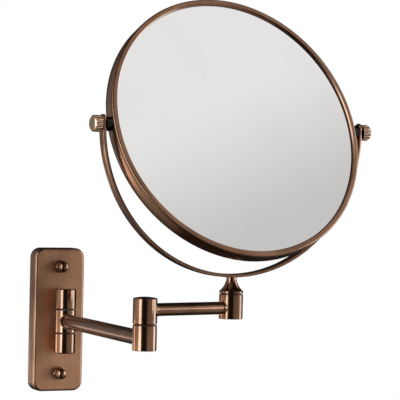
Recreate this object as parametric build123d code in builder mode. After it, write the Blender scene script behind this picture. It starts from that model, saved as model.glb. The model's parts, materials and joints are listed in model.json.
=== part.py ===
from build123d import *
import os
from math import cos, radians, sin

os.makedirs("parts", exist_ok=True)

# Wall-mounted shaving mirror on two swinging arms, in millimetres.
# The origin is the centre of the wall plate's back face. The wall lies on the +Y side of Y = 0,
# the mirror reaches out along -Y, +X is to the right as seen from the room, and +Z is up.

# ---- Driving dimensions ----------------------------------------------------------------------

# Stored pose: compass angles about +Z, measured from +X, and the mirror's backward tilt
first_arm_angle = -92.2
second_arm_angle = 12.0
yoke_angle = 4.4
mirror_tilt = 22.3

# Layout of the axes; heights are above the first arm's centre line
wall_axis_offset = 26.5
first_arm_length = 180.0
second_arm_length = 79.0
second_arm_height = 21.3
pivot_height = 156.5

# Wall plate and what holds it
plate_width = 43.0
plate_height = 117.0
plate_depth = 12.7
plate_corner = 8.0
plate_edge = 2.4
plate_wall = 2.2
bar_width = 26.0
bar_height = 104.0
bar_thickness = 3.0
bar_corner = 6.0
wall_screw_spacing = 60.0
wall_screw_radius = 2.5
nut_spacing = 87.0
stud_radius = 2.5
stud_flange_radius = 4.0
stud_flange = 1.0
stud_reach = 8.0
nut_across_flats = 9.8
nut_body = 5.2
nut_face_radius = 4.8
nut_bevel_slope = 1.7
nut_neck = 2.2
nut_dome_radius = 4.5

# Running fits and seams
running_clearance = 0.05
seam = 0.9
seam_washer = 0.5
washer_inset = 1.0
barrel_chamfer = 0.35

# How far a cutting shape reaches past the face it cuts
past = 1.0

# Wall hinge
hinge_radius = 8.5
hinge_height = 52.4
hinge_middle = 19.4
hinge_end_round = 1.2
web_width = 7.0
hinge_pin_radius = 2.5
hinge_pin_top = 22.0
hinge_pin_head_radius = 4.0
hinge_pin_head = 1.4
pin_slot_width = 1.0
pin_slot_depth = 0.7
hinge_bush_radius = 3.75
knuckle_screw_radius = 2.0
knuckle_screw_reach = 6.8
knuckle_screw_head_radius = 3.6
knuckle_screw_head = 2.0

# Arm tubes and barrels
barrel_radius = 9.0
first_tube_radius = 5.8
second_tube_radius = 4.8
tube_wall = 1.1
collar_width = 0.7
collar_length = 0.6
hinge_tube_start = 4.6
elbow_tube_end = 5.3
elbow_tube_start = 4.6
socket_tube_end = 5.9

# Elbow heights
elbow_bottom = -8.5
elbow_seam = 10.65
elbow_side_top = 29.9
elbow_round = 0.6
elbow_crown = 1.1
elbow_screw_radius = 3.0
elbow_screw_top = 24.0
hex_socket_radius = 2.0
hex_socket_depth = 1.5
elbow_head_radius = 4.3
elbow_head_low = -6.6
elbow_head_high = -4.1
elbow_shoulder = -3.0
elbow_spring_thickness = 0.8
elbow_chamber_radius = 4.9
elbow_bush_radius = 4.2
plug_radius = 6.5
plug_thickness = 1.2

# End socket and stem heights
socket_bottom = 13.0
socket_top = 31.6
socket_chamber_radius = 5.4
socket_shoulder = 17.5
socket_bush_radius = 5.0
spigot_radius = 4.0
spigot_bottom = 18.0
collar_bottom = 32.3
collar_top = 34.3
flare_top = 43.0
neck_radius = 3.9
flare_mid_radius = 5.3
flare_mid_height = 38.6
stem_screw_radius = 2.0
stem_head_radius = 4.4
stem_head_low = 14.7
stem_head_high = 16.3
stem_screw_top = 24.0
stem_spring_radius = 5.2
stem_washer_thickness = 0.4

# Yoke
yoke_radius = 110.9
yoke_thickness = 2.6
yoke_width = 7.5
yoke_ear = 7.0
ear_flat = 0.1
yoke_screw_radius = 2.0
yoke_screw_reach = 8.0
countersink_radius = 3.4
countersink_depth = 1.4

# Mirror drum, measured out from its middle plane
drum_radius = 104.6
drum_wall = 1.2
drum_half_width = 4.3
bezel_front = 6.4
bezel_groove_top = 5.1
bezel_groove_radius = 103.6
bezel_round = 0.7
bezel_lip_outer = 101.4
bezel_lip_inner = 100.2
bezel_lip_edge = 5.5
bezel_under = 4.4
bezel_skirt = 3.2
glass_radius = 102.2
glass_face = 4.1
glass_thickness = 1.9
curved_glass_thickness = 1.8
curved_glass_radius = 1400.0
backing_low = 1.7
backing_thickness = 0.4
gasket_inner = 100.6

# Pivots and thumb knobs, measured out along the pivot axis
pivot_stud_radius = 2.0
rivet_head_radius = 2.8
rivet_head_low = 102.3
rivet_head_high = 103.35
pivot_stud_end = 118.2
spacer_radius = 5.3
moving_gap = 0.3
knob_washer_radius = 4.6
knob_washer_bore = 2.35
knob_washer_thickness = 0.6
knob_radius = 6.2
knob_body = 5.4
knob_face_radius = 5.0
knob_bevel = 1.1
knob_bore_depth = 5.6
flute_count = 14
flute_radius = 0.8
flute_offset = 0.25

# ---- Axes and planes worked out from the dimensions ------------------------------------------

up = Vector(0, 0, 1)


def compass(angle):
    """Level direction at an angle from +X about +Z."""
    return Vector(cos(radians(angle)), sin(radians(angle)), 0)


wall_axis = Vector(0, -wall_axis_offset, 0)
first_direction = compass(first_arm_angle)
elbow_axis = wall_axis + first_direction * first_arm_length
second_direction = compass(second_arm_angle)
head_axis = elbow_axis + second_direction * second_arm_length
pivot_direction = compass(yoke_angle)
yoke_normal = compass(yoke_angle - 90)
mirror_centre = head_axis + up * pivot_height
mirror_normal = yoke_normal * cos(radians(mirror_tilt)) + up * sin(radians(mirror_tilt))

plate_plane = Plane.XZ
yoke_plane = Plane(origin=mirror_centre, x_dir=pivot_direction, z_dir=yoke_normal)
mirror_plane = Plane(origin=mirror_centre, x_dir=pivot_direction, z_dir=mirror_normal)
drum_profile_plane = Plane(origin=mirror_centre, x_dir=pivot_direction, z_dir=mirror_plane.y_dir)
drum_axis = Axis(mirror_centre, mirror_normal)
right_pivot_plane = Plane(origin=mirror_centre, x_dir=yoke_normal, z_dir=pivot_direction)
left_pivot_plane = Plane(origin=mirror_centre, x_dir=yoke_normal, z_dir=-pivot_direction)
pivot_planes = (left_pivot_plane, right_pivot_plane)


def level(axis, height):
    """Level plane at a height on one of the upright axes."""
    return Plane(origin=axis + up * height)


def along(start, direction, distance):
    """Plane square to an arm, at a distance along it."""
    return Plane(origin=start + direction * distance, x_dir=up, z_dir=direction)


def turned(axis, low, high, outer, inner=0.0):
    """Upright disc or ring between two heights on an upright axis."""
    with BuildPart() as ring:
        with BuildSketch(level(axis, low)):
            Circle(outer)
            if inner > 0:
                Circle(inner, mode=Mode.SUBTRACT)
        extrude(amount=high - low)
    return ring


# ---- Wall mount ------------------------------------------------------------------------------

nut_places = [(0, nut_spacing / 2), (0, -nut_spacing / 2)]
hinge_top = hinge_height / 2
fixed_start = hinge_middle / 2 + seam / 2
knuckle_centre = (hinge_top + fixed_start) / 2
knuckle_places = [(0, knuckle_centre), (0, -knuckle_centre)]
wall_screw_places = [(0, wall_screw_spacing / 2), (0, -wall_screw_spacing / 2)]
plate_inside = plate_depth - plate_wall

# Cast cover, open at the back, with holes for the studs and for the knuckles' screws
with BuildPart() as wall_plate:
    with BuildSketch(plate_plane):
        RectangleRounded(plate_width, plate_height, plate_corner)
    extrude(amount=plate_depth)
    fillet(wall_plate.faces().sort_by(Axis.Y)[0].edges(), plate_edge)
    with BuildSketch(plate_plane):
        RectangleRounded(
            plate_width - 2 * plate_wall, plate_height - 2 * plate_wall, plate_corner - plate_wall
        )
    extrude(amount=plate_inside, mode=Mode.SUBTRACT)
    with BuildSketch(plate_plane):
        with Locations(*nut_places):
            Circle(stud_radius)
        with Locations(*knuckle_places):
            Circle(knuckle_screw_radius)
    extrude(amount=plate_depth, mode=Mode.SUBTRACT)

# Flat bar screwed to the wall, which carries the two studs
with BuildPart() as mounting_bar:
    with BuildSketch(plate_plane):
        RectangleRounded(bar_width, bar_height, bar_corner)
        with Locations(*wall_screw_places):
            Circle(wall_screw_radius, mode=Mode.SUBTRACT)
        with Locations(*nut_places):
            Circle(stud_radius, mode=Mode.SUBTRACT)
    extrude(amount=bar_thickness)

# Flanged studs, flush with the bar's back
with BuildPart() as plate_studs:
    with BuildSketch(plate_plane):
        with Locations(*nut_places):
            Circle(stud_radius)
    extrude(amount=plate_depth + stud_reach)
    with BuildSketch(plate_plane.offset(bar_thickness)):
        with Locations(*nut_places):
            Circle(stud_flange_radius)
    extrude(amount=stud_flange)

# Domed nuts: a bevelled hexagon, a short neck and half a ball, threaded on the studs
with BuildPart() as cap_nut:
    with BuildSketch():
        RegularPolygon(nut_across_flats / 2, 6, major_radius=False)
    extrude(amount=nut_body)
    Cone(
        nut_face_radius + nut_body * nut_bevel_slope,
        nut_face_radius,
        nut_body,
        align=(Align.CENTER, Align.CENTER, Align.MIN),
        mode=Mode.INTERSECT,
    )
    with BuildSketch(Plane.XY.offset(nut_body)):
        Circle(nut_dome_radius)
    extrude(amount=nut_neck)
    with Locations((0, 0, nut_body + nut_neck)):
        Sphere(nut_dome_radius)
    with BuildSketch():
        Circle(stud_radius)
    extrude(amount=stud_reach, mode=Mode.SUBTRACT)

with BuildPart() as cap_nuts:
    with Locations(
        Location((0, -plate_depth, nut_spacing / 2), (90, 0, 0)),
        Location((0, -plate_depth, -nut_spacing / 2), (90, 0, 0)),
    ):
        add(cap_nut.part)

# The two fixed barrels of the hinge, each with a web that stands on the plate
def fixed_knuckle(low, high):
    """Fixed hinge barrel between two heights, with its web and its screw hole."""
    with BuildPart() as knuckle:
        with BuildSketch(level(wall_axis, low)):
            Circle(hinge_radius)
        extrude(amount=high - low)
        rims = knuckle.edges().filter_by(GeomType.CIRCLE).sort_by(Axis.Z)
        outer_rim = rims[-1] if high > 0 else rims[0]
        inner_rim = rims[0] if high > 0 else rims[-1]
        fillet(outer_rim, hinge_end_round)
        chamfer(inner_rim, barrel_chamfer)
        with BuildSketch(level(wall_axis, low)):
            with Locations((0, (wall_axis_offset - plate_depth) / 2)):
                Rectangle(web_width, wall_axis_offset - plate_depth)
        extrude(amount=high - low)
        with BuildSketch(plate_plane.offset(plate_depth)):
            with Locations((0, (low + high) / 2)):
                Circle(knuckle_screw_radius)
        extrude(amount=knuckle_screw_reach, mode=Mode.SUBTRACT)
    return knuckle


upper_blank = fixed_knuckle(fixed_start, hinge_top)
with BuildPart() as upper_knuckle:
    add(upper_blank.part)
    with BuildSketch(level(wall_axis, fixed_start)):
        Circle(hinge_pin_radius)
    extrude(amount=hinge_pin_top - fixed_start, mode=Mode.SUBTRACT)

lower_blank = fixed_knuckle(-hinge_top, -fixed_start)
with BuildPart() as lower_knuckle:
    add(lower_blank.part)
    with BuildSketch(level(wall_axis, -hinge_top)):
        Circle(hinge_pin_radius)
    extrude(amount=hinge_top, mode=Mode.SUBTRACT)
    with BuildSketch(level(wall_axis, -hinge_top)):
        Circle(hinge_pin_head_radius)
    extrude(amount=hinge_pin_head, mode=Mode.SUBTRACT)

# Pan-head screws driven from inside the cover into the webs
with BuildPart() as knuckle_screws:
    with BuildSketch(plate_plane.offset(plate_inside)):
        with Locations(*knuckle_places):
            Circle(knuckle_screw_radius)
    extrude(amount=plate_wall + knuckle_screw_reach)
    with BuildSketch(plate_plane.offset(plate_inside - knuckle_screw_head)):
        with Locations(*knuckle_places):
            Circle(knuckle_screw_head_radius)
    extrude(amount=knuckle_screw_head)

# Slotted pin, driven up from below through all three barrels
with BuildPart() as hinge_pin:
    with BuildSketch(level(wall_axis, -hinge_top)):
        Circle(hinge_pin_radius)
    extrude(amount=hinge_top + hinge_pin_top)
    with BuildSketch(level(wall_axis, -hinge_top)):
        Circle(hinge_pin_head_radius)
    extrude(amount=hinge_pin_head)
    with BuildSketch(level(wall_axis, -hinge_top)):
        Rectangle(2 * hinge_pin_head_radius, pin_slot_width)
    extrude(amount=pin_slot_depth, mode=Mode.SUBTRACT)

# Thin washers in the two seams, resting on the fixed barrels
with BuildPart() as hinge_washers:
    for washer_low in (fixed_start - seam_washer, -fixed_start):
        with BuildSketch(level(wall_axis, washer_low)):
            Circle(hinge_radius - washer_inset)
            Circle(hinge_pin_radius, mode=Mode.SUBTRACT)
        extrude(amount=seam_washer)

# ---- First arm -------------------------------------------------------------------------------


def barrel(axis, low, high, radius, bore):
    """Plain turned barrel with bevelled rims and a bore right through."""
    with BuildPart() as turning:
        with BuildSketch(level(axis, low)):
            Circle(radius)
        extrude(amount=high - low)
        chamfer(turning.edges().filter_by(GeomType.CIRCLE), barrel_chamfer)
        with BuildSketch(level(axis, low)):
            Circle(bore)
        extrude(amount=high - low, mode=Mode.SUBTRACT)
    return turning


hinge_half = hinge_middle / 2 - seam / 2
arm_blank = barrel(wall_axis, -hinge_half, hinge_half, hinge_radius, hinge_bush_radius)
with BuildPart() as arm_knuckle:
    add(arm_blank.part)
    with BuildSketch(along(wall_axis, first_direction, hinge_tube_start)):
        Circle(first_tube_radius)
    extrude(amount=hinge_radius, mode=Mode.SUBTRACT)

arm_bush = turned(
    wall_axis, -hinge_half, hinge_half, hinge_bush_radius, hinge_pin_radius + running_clearance
)


def arm_tube(start, direction, first, last, radius):
    """Round tube along an arm between two distances from its first axis."""
    with BuildPart() as tube:
        with BuildSketch(along(start, direction, first)):
            Circle(radius)
            Circle(radius - tube_wall, mode=Mode.SUBTRACT)
        extrude(amount=last - first)
    return tube


def arm_collars(start, direction, length, tube_radius, start_radius, end_radius):
    """Two thin brazing collars, saddled on the barrels at the ends of a tube."""
    with BuildPart() as collars:
        with BuildSketch(along(start, direction, start_radius - tube_radius / 2)):
            Circle(tube_radius + collar_width)
            Circle(tube_radius, mode=Mode.SUBTRACT)
        extrude(amount=tube_radius / 2 + collar_length)
        with BuildSketch(along(start, direction, length - end_radius - collar_length)):
            Circle(tube_radius + collar_width)
            Circle(tube_radius, mode=Mode.SUBTRACT)
        extrude(amount=tube_radius / 2 + collar_length)
        for centre, radius in ((start, start_radius), (start + direction * length, end_radius)):
            with BuildSketch(Plane(origin=centre)):
                Circle(radius)
            extrude(amount=barrel_radius * 2, both=True, mode=Mode.SUBTRACT)
    return collars


first_arm_tube = arm_tube(
    wall_axis,
    first_direction,
    hinge_tube_start,
    first_arm_length - elbow_tube_end,
    first_tube_radius,
)
first_arm_collars = arm_collars(
    wall_axis, first_direction, first_arm_length, first_tube_radius, hinge_radius, barrel_radius
)

# Lower elbow barrel: a bush above, a chamber for the screw's head below, closed by a plug
elbow_base_top = elbow_seam - seam / 2
base_blank = barrel(elbow_axis, elbow_bottom, elbow_base_top, barrel_radius, elbow_bush_radius)
with BuildPart() as elbow_base:
    add(base_blank.part)
    with BuildSketch(level(elbow_axis, elbow_bottom)):
        Circle(elbow_chamber_radius)
    extrude(amount=elbow_shoulder - elbow_bottom, mode=Mode.SUBTRACT)
    with BuildSketch(level(elbow_axis, elbow_bottom)):
        Circle(plug_radius)
    extrude(amount=plug_thickness, mode=Mode.SUBTRACT)
    with BuildSketch(along(elbow_axis, -first_direction, elbow_tube_end)):
        Circle(first_tube_radius)
    extrude(amount=barrel_radius, mode=Mode.SUBTRACT)

elbow_bush = turned(
    elbow_axis,
    elbow_shoulder,
    elbow_base_top,
    elbow_bush_radius,
    elbow_screw_radius + running_clearance,
)
elbow_washer = turned(
    elbow_axis,
    elbow_base_top,
    elbow_base_top + seam_washer,
    barrel_radius - washer_inset,
    elbow_screw_radius + moving_gap,
)
elbow_plug = turned(elbow_axis, elbow_bottom, elbow_bottom + plug_thickness, plug_radius)
elbow_spring = turned(
    elbow_axis,
    elbow_shoulder - elbow_spring_thickness,
    elbow_shoulder,
    elbow_chamber_radius,
    elbow_screw_radius + moving_gap,
)

# ---- Second arm ------------------------------------------------------------------------------

# Upper elbow barrel: its crown is cut by a large ball, and it has a blind hole for the screw
elbow_top_start = elbow_seam + seam / 2
elbow_crown_top = elbow_side_top + elbow_crown
elbow_crown_radius = (barrel_radius**2 + elbow_crown**2) / (2 * elbow_crown)
with BuildPart() as elbow_top:
    with BuildSketch(level(elbow_axis, elbow_top_start)):
        Circle(barrel_radius)
    extrude(amount=elbow_crown_top - elbow_top_start)
    with Locations(elbow_axis + up * (elbow_crown_top - elbow_crown_radius)):
        Sphere(elbow_crown_radius, mode=Mode.INTERSECT)
    elbow_circles = elbow_top.edges().filter_by(GeomType.CIRCLE)
    elbow_rims = elbow_circles.filter_by(lambda edge: edge.is_closed).sort_by(Axis.Z)
    chamfer(elbow_rims[0], barrel_chamfer)
    fillet(elbow_rims[-1], elbow_round)
    with BuildSketch(level(elbow_axis, elbow_top_start)):
        Circle(elbow_screw_radius)
    extrude(amount=elbow_screw_top - elbow_top_start, mode=Mode.SUBTRACT)
    with BuildSketch(along(elbow_axis + up * second_arm_height, second_direction, elbow_tube_start)):
        Circle(second_tube_radius)
    extrude(amount=barrel_radius, mode=Mode.SUBTRACT)

# Shouldered screw: its head turns in the chamber, and its shank is the elbow's bearing
with BuildPart() as elbow_screw:
    with BuildSketch(level(elbow_axis, elbow_head_low)):
        Circle(elbow_head_radius)
    extrude(amount=elbow_head_high - elbow_head_low)
    with BuildSketch(level(elbow_axis, elbow_head_high)):
        Circle(elbow_screw_radius)
    extrude(amount=elbow_screw_top - elbow_head_high)
    with BuildSketch(level(elbow_axis, elbow_head_low)):
        RegularPolygon(hex_socket_radius, 6)
    extrude(amount=hex_socket_depth, mode=Mode.SUBTRACT)

second_arm_start = elbow_axis + up * second_arm_height
second_arm_tube = arm_tube(
    second_arm_start,
    second_direction,
    elbow_tube_start,
    second_arm_length - socket_tube_end,
    second_tube_radius,
)
second_arm_collars = arm_collars(
    second_arm_start,
    second_direction,
    second_arm_length,
    second_tube_radius,
    barrel_radius,
    barrel_radius,
)

# Barrel at the arm's end, bored for the stem from above and closed by a plug below
socket_blank = barrel(head_axis, socket_bottom, socket_top, barrel_radius, socket_bush_radius)
with BuildPart() as end_socket:
    add(socket_blank.part)
    with BuildSketch(level(head_axis, socket_bottom)):
        Circle(socket_chamber_radius)
    extrude(amount=socket_shoulder - socket_bottom, mode=Mode.SUBTRACT)
    with BuildSketch(level(head_axis, socket_bottom)):
        Circle(plug_radius)
    extrude(amount=plug_thickness, mode=Mode.SUBTRACT)
    with BuildSketch(along(head_axis + up * second_arm_height, -second_direction, socket_tube_end)):
        Circle(second_tube_radius)
    extrude(amount=barrel_radius, mode=Mode.SUBTRACT)

socket_bush = turned(
    head_axis, socket_shoulder, socket_top, socket_bush_radius, spigot_radius + running_clearance
)
socket_plug = turned(head_axis, socket_bottom, socket_bottom + plug_thickness, plug_radius)
stem_washer = turned(
    head_axis,
    socket_top,
    socket_top + stem_washer_thickness,
    barrel_radius - washer_inset,
    spigot_radius + moving_gap,
)
stem_spring = turned(
    head_axis,
    socket_shoulder - elbow_spring_thickness,
    socket_shoulder,
    stem_spring_radius,
    stem_screw_radius + moving_gap,
)

# ---- Head: stem and yoke ---------------------------------------------------------------------

yoke_outer = yoke_radius + yoke_thickness / 2
yoke_inner = yoke_radius - yoke_thickness / 2
yoke_floor = pivot_height - yoke_inner
yoke_under = pivot_height - yoke_outer

# Turned stem: spigot, round-edged collar and a hollow flare up to a slim neck
with BuildPart() as stem:
    with BuildSketch(Plane(origin=head_axis, x_dir=pivot_direction, z_dir=yoke_normal)):
        with BuildLine():
            Polyline(
                (barrel_radius - barrel_chamfer, collar_bottom),
                (spigot_radius, collar_bottom),
                (spigot_radius, spigot_bottom),
                (0, spigot_bottom),
                (0, yoke_under + past),
                (neck_radius, yoke_under + past),
                (neck_radius, flare_top),
            )
            ThreePointArc(
                (neck_radius, flare_top),
                (flare_mid_radius, flare_mid_height),
                (barrel_radius - barrel_chamfer, collar_top),
            )
            Polyline(
                (barrel_radius - barrel_chamfer, collar_top),
                (barrel_radius, collar_top - barrel_chamfer),
                (barrel_radius, collar_bottom + barrel_chamfer),
                (barrel_radius - barrel_chamfer, collar_bottom),
            )
        make_face()
    revolve(axis=Axis(head_axis, up))
    with BuildSketch(yoke_plane):
        Circle(yoke_outer)
    extrude(amount=barrel_radius, both=True, mode=Mode.SUBTRACT)
    with BuildSketch(level(head_axis, yoke_under - yoke_screw_reach)):
        Circle(yoke_screw_radius)
    extrude(amount=yoke_screw_reach + past, mode=Mode.SUBTRACT)
    with BuildSketch(level(head_axis, spigot_bottom)):
        Circle(stem_screw_radius)
    extrude(amount=stem_screw_top - spigot_bottom, mode=Mode.SUBTRACT)

with BuildPart() as stem_screw:
    with BuildSketch(level(head_axis, stem_head_low)):
        Circle(stem_head_radius)
    extrude(amount=stem_head_high - stem_head_low)
    with BuildSketch(level(head_axis, stem_head_high)):
        Circle(stem_screw_radius)
    extrude(amount=stem_screw_top - stem_head_high)

# Flat strap bent to a half circle, with round-ended ears above the pivots
with BuildPart() as yoke:
    with BuildSketch(yoke_plane):
        Circle(yoke_outer)
        Circle(yoke_inner, mode=Mode.SUBTRACT)
        with Locations((0, yoke_outer)):
            Rectangle(2 * yoke_outer, 2 * yoke_outer, mode=Mode.SUBTRACT)
        with Locations((-yoke_radius, yoke_ear / 2), (yoke_radius, yoke_ear / 2)):
            Rectangle(yoke_thickness, yoke_ear)
    extrude(amount=yoke_width / 2, both=True)
    ear_tops = yoke.faces().sort_by(Axis.Z)[-2:]
    ear_corners = ear_tops.edges().filter_by(Axis((0, 0, 0), pivot_direction))
    fillet(ear_corners, (yoke_width - ear_flat) / 2)
    for plane in pivot_planes:
        with BuildSketch(plane.offset(yoke_inner - past)):
            Circle(pivot_stud_radius + running_clearance)
        extrude(amount=yoke_thickness + 2 * past, mode=Mode.SUBTRACT)
    with BuildSketch(level(head_axis, yoke_under - past)):
        Circle(yoke_screw_radius)
    extrude(amount=yoke_thickness + 2 * past, mode=Mode.SUBTRACT)
    with BuildSketch(level(head_axis, yoke_floor - countersink_depth)):
        Circle(yoke_screw_radius)
    with BuildSketch(level(head_axis, yoke_floor)):
        Circle(countersink_radius)
    loft(mode=Mode.SUBTRACT)

with BuildPart() as yoke_screw:
    with BuildSketch(level(head_axis, yoke_floor - countersink_depth)):
        Circle(yoke_screw_radius)
    with BuildSketch(level(head_axis, yoke_floor)):
        Circle(countersink_radius)
    loft()
    with BuildSketch(level(head_axis, yoke_under - yoke_screw_reach)):
        Circle(yoke_screw_radius)
    extrude(amount=yoke_screw_reach + yoke_thickness - countersink_depth)

with BuildPart() as knob_washers:
    for plane in pivot_planes:
        with BuildSketch(plane.offset(yoke_outer)):
            Circle(knob_washer_radius)
            Circle(knob_washer_bore, mode=Mode.SUBTRACT)
        extrude(amount=knob_washer_thickness)

# ---- Mirror ----------------------------------------------------------------------------------

drum_inside = drum_radius - drum_wall
round_inset = bezel_round * (1 - cos(radians(45)))

# Rolled band with a hole for each stud
with BuildPart() as mirror_drum:
    with BuildSketch(mirror_plane):
        Circle(drum_radius)
        Circle(drum_inside, mode=Mode.SUBTRACT)
    extrude(amount=drum_half_width, both=True)
    for plane in pivot_planes:
        with BuildSketch(plane.offset(drum_inside - past)):
            Circle(pivot_stud_radius)
        extrude(amount=drum_wall + 2 * past, mode=Mode.SUBTRACT)


def bezel(side):
    """Rim ring on one side of the drum: skirt, groove, round outer edge and bevelled lip."""
    with BuildPart() as rim:
        with BuildSketch(drum_profile_plane):
            with BuildLine():
                Polyline(
                    (drum_radius, side * -(bezel_front - bezel_round)),
                    (drum_radius, side * -bezel_groove_top),
                    (bezel_groove_radius, side * -bezel_groove_top),
                    (bezel_groove_radius, side * -drum_half_width),
                    (drum_inside, side * -drum_half_width),
                    (drum_inside, side * -bezel_skirt),
                    (glass_radius, side * -bezel_skirt),
                    (glass_radius, side * -bezel_under),
                    (bezel_lip_inner, side * -bezel_under),
                    (bezel_lip_inner, side * -bezel_lip_edge),
                    (bezel_lip_outer, side * -bezel_front),
                    (drum_radius - bezel_round, side * -bezel_front),
                )
                ThreePointArc(
                    (drum_radius - bezel_round, side * -bezel_front),
                    (drum_radius - round_inset, side * -(bezel_front - round_inset)),
                    (drum_radius, side * -(bezel_front - bezel_round)),
                )
            make_face()
        revolve(axis=drum_axis)
    return rim


front_bezel = bezel(1)
rear_bezel = bezel(-1)


def drum_disc(low, high, outer, inner=0.0):
    """Flat disc or ring inside the drum, between two distances from its middle plane."""
    with BuildPart() as disc:
        with BuildSketch(mirror_plane.offset(low)):
            Circle(outer)
            if inner > 0:
                Circle(inner, mode=Mode.SUBTRACT)
        extrude(amount=high - low)
    return disc


front_glass = drum_disc(glass_face - glass_thickness, glass_face, glass_radius)
backing_disc = drum_disc(backing_low, backing_low + backing_thickness, glass_radius)
front_gasket = drum_disc(glass_face, bezel_under, glass_radius, gasket_inner)
rear_gasket = drum_disc(-bezel_under, -glass_face, glass_radius, gasket_inner)

# Magnifying glass: a slice of a thin ball, hollow towards the back
curved_sag = curved_glass_radius - (curved_glass_radius**2 - glass_radius**2) ** 0.5
with BuildPart() as rear_glass:
    with BuildSketch(drum_profile_plane):
        with BuildLine():
            RadiusArc((0, glass_face - curved_sag), (glass_radius, glass_face), -curved_glass_radius)
            Line((glass_radius, glass_face), (glass_radius, glass_face - curved_glass_thickness))
            RadiusArc(
                (glass_radius, glass_face - curved_glass_thickness),
                (0, glass_face - curved_glass_thickness - curved_sag),
                curved_glass_radius,
            )
            Line(
                (0, glass_face - curved_glass_thickness - curved_sag), (0, glass_face - curved_sag)
            )
        make_face()
    revolve(axis=drum_axis)

# Spacers saddled on the drum, and studs riveted inside it
with BuildPart() as pivot_spacers:
    for plane in pivot_planes:
        with BuildSketch(plane.offset(drum_inside)):
            Circle(spacer_radius)
            Circle(pivot_stud_radius, mode=Mode.SUBTRACT)
        extrude(amount=yoke_inner - moving_gap - drum_inside)
    with BuildSketch(mirror_plane):
        Circle(drum_radius)
    extrude(amount=spacer_radius + past, both=True, mode=Mode.SUBTRACT)

with BuildPart() as pivot_studs:
    for plane in pivot_planes:
        with BuildSketch(plane.offset(rivet_head_low)):
            Circle(rivet_head_radius)
        extrude(amount=rivet_head_high - rivet_head_low)
        with BuildSketch(plane.offset(rivet_head_high)):
            Circle(pivot_stud_radius)
        extrude(amount=pivot_stud_end - rivet_head_high)

# ---- Knobs -----------------------------------------------------------------------------------

knob_start = yoke_outer + knob_washer_thickness + moving_gap


def knob(plane):
    """Fluted thumb nut with a bevelled end, on one of the pivot planes."""
    seat = plane.offset(knob_start)
    with BuildPart() as nut:
        with BuildSketch(seat):
            Circle(knob_radius)
            with PolarLocations(knob_radius + flute_offset, flute_count):
                Circle(flute_radius, mode=Mode.SUBTRACT)
        extrude(amount=knob_body + knob_bevel)
        profile = Plane(origin=seat.origin, x_dir=seat.x_dir, z_dir=seat.y_dir)
        with BuildSketch(profile):
            with BuildLine():
                Polyline(
                    (0, 0),
                    (knob_radius - barrel_chamfer, 0),
                    (knob_radius, -barrel_chamfer),
                    (knob_radius, -knob_body),
                    (knob_face_radius, -knob_body - knob_bevel),
                    (0, -knob_body - knob_bevel),
                    close=True,
                )
            make_face()
        revolve(axis=Axis(seat.origin, seat.z_dir), mode=Mode.INTERSECT)
        with BuildSketch(seat):
            Circle(pivot_stud_radius + running_clearance)
        extrude(amount=knob_bore_depth, mode=Mode.SUBTRACT)
    return nut


left_knob = knob(left_pivot_plane)
right_knob = knob(right_pivot_plane)

# ---- One file for each piece -----------------------------------------------------------------

pieces = {
    "wall_plate": wall_plate,
    "mounting_bar": mounting_bar,
    "plate_studs": plate_studs,
    "cap_nuts": cap_nuts,
    "upper_knuckle": upper_knuckle,
    "lower_knuckle": lower_knuckle,
    "knuckle_screws": knuckle_screws,
    "hinge_pin": hinge_pin,
    "hinge_washers": hinge_washers,
    "arm_knuckle": arm_knuckle,
    "arm_bush": arm_bush,
    "first_arm_tube": first_arm_tube,
    "first_arm_collars": first_arm_collars,
    "elbow_base": elbow_base,
    "elbow_bush": elbow_bush,
    "elbow_washer": elbow_washer,
    "elbow_plug": elbow_plug,
    "elbow_spring": elbow_spring,
    "elbow_top": elbow_top,
    "elbow_screw": elbow_screw,
    "second_arm_tube": second_arm_tube,
    "second_arm_collars": second_arm_collars,
    "end_socket": end_socket,
    "socket_bush": socket_bush,
    "socket_plug": socket_plug,
    "stem_washer": stem_washer,
    "stem_spring": stem_spring,
    "stem": stem,
    "stem_screw": stem_screw,
    "yoke": yoke,
    "yoke_screw": yoke_screw,
    "knob_washers": knob_washers,
    "mirror_drum": mirror_drum,
    "front_bezel": front_bezel,
    "rear_bezel": rear_bezel,
    "front_glass": front_glass,
    "rear_glass": rear_glass,
    "backing_disc": backing_disc,
    "front_gasket": front_gasket,
    "rear_gasket": rear_gasket,
    "pivot_spacers": pivot_spacers,
    "pivot_studs": pivot_studs,
    "left_knob": left_knob,
    "right_knob": right_knob,
}

for name, piece in pieces.items():
    piece.part.label = name
    export_step(piece.part, f"parts/{name}.step")

print(f"{len(pieces)} pieces")
print("elbow axis", elbow_axis)
print("head axis", head_axis)
print("mirror centre", mirror_centre)
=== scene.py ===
# %% [markdown]
# # A shaving mirror on two swinging arms
# The real thing is turned, drawn and cast brass under an antique copper finish. A CAD model already
# says where every piece is and how it moves. This lesson builds the surfaces that are seen, piece by
# piece, round that model, and gives each one the finish that its own workshop process leaves.

# %% Load the CAD model
import bpy
import json
from math import asin, atan2, cos, degrees, pi, radians, sin, sqrt
from mathutils import Matrix, Vector


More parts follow.
